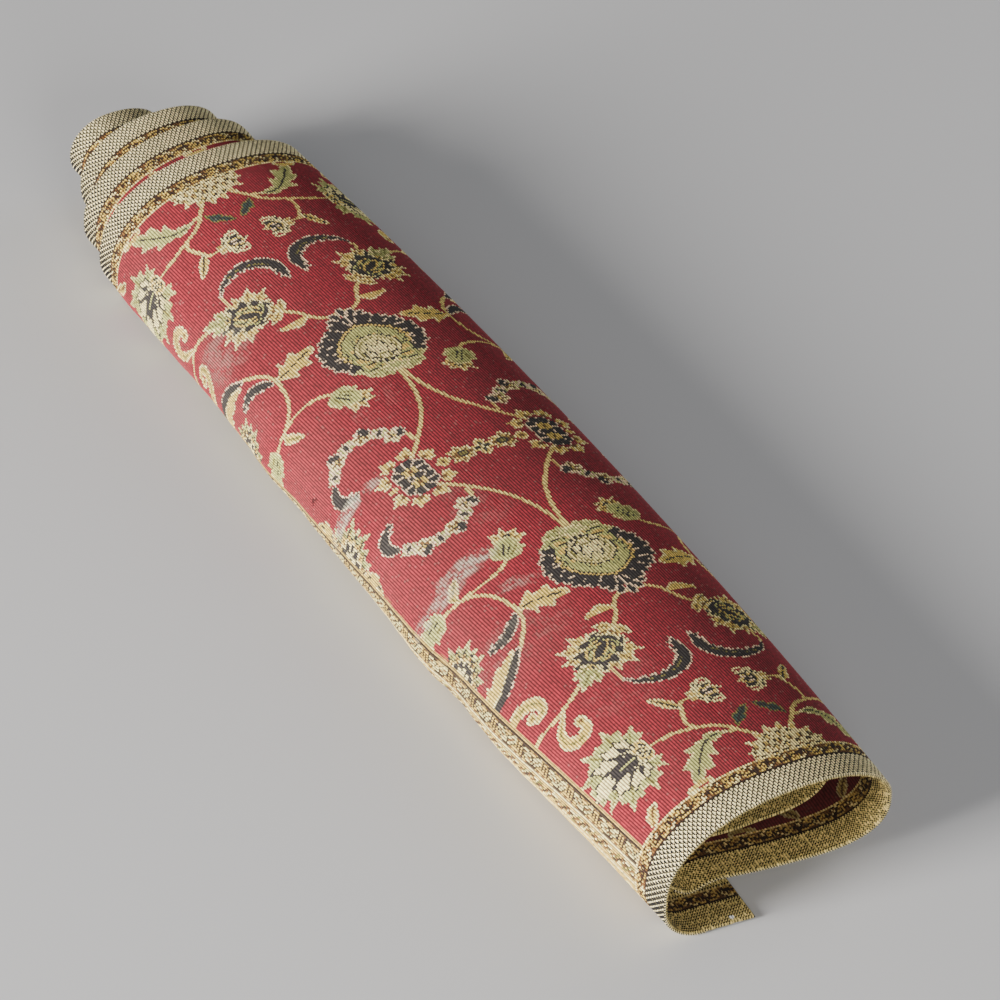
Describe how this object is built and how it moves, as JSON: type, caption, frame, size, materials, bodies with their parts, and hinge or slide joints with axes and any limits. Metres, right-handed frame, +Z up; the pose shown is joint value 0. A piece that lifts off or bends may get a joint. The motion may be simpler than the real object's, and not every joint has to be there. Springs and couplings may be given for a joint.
{
  "type": "rolled up carpet",
  "caption": "Thin flat-woven floral rug rolled up loosely and a little askew, lying on its side with a short flat tail under it",
  "frame": {"origin": "On the surface that the roll lies on, under the middle of its bounding box", "axes": "+X along the roll towards the end where the inner turns are set back, +Y across the roll away from the tail's fold, +Z up"},
  "size_m": [1.039, 0.2092, 0.0966],
  "materials": {
    "woven_face": "matte ribbed weave"
  },
  "bodies": {
    "root": {"carpet": "woven_face"}
  },
  "joints": []
}
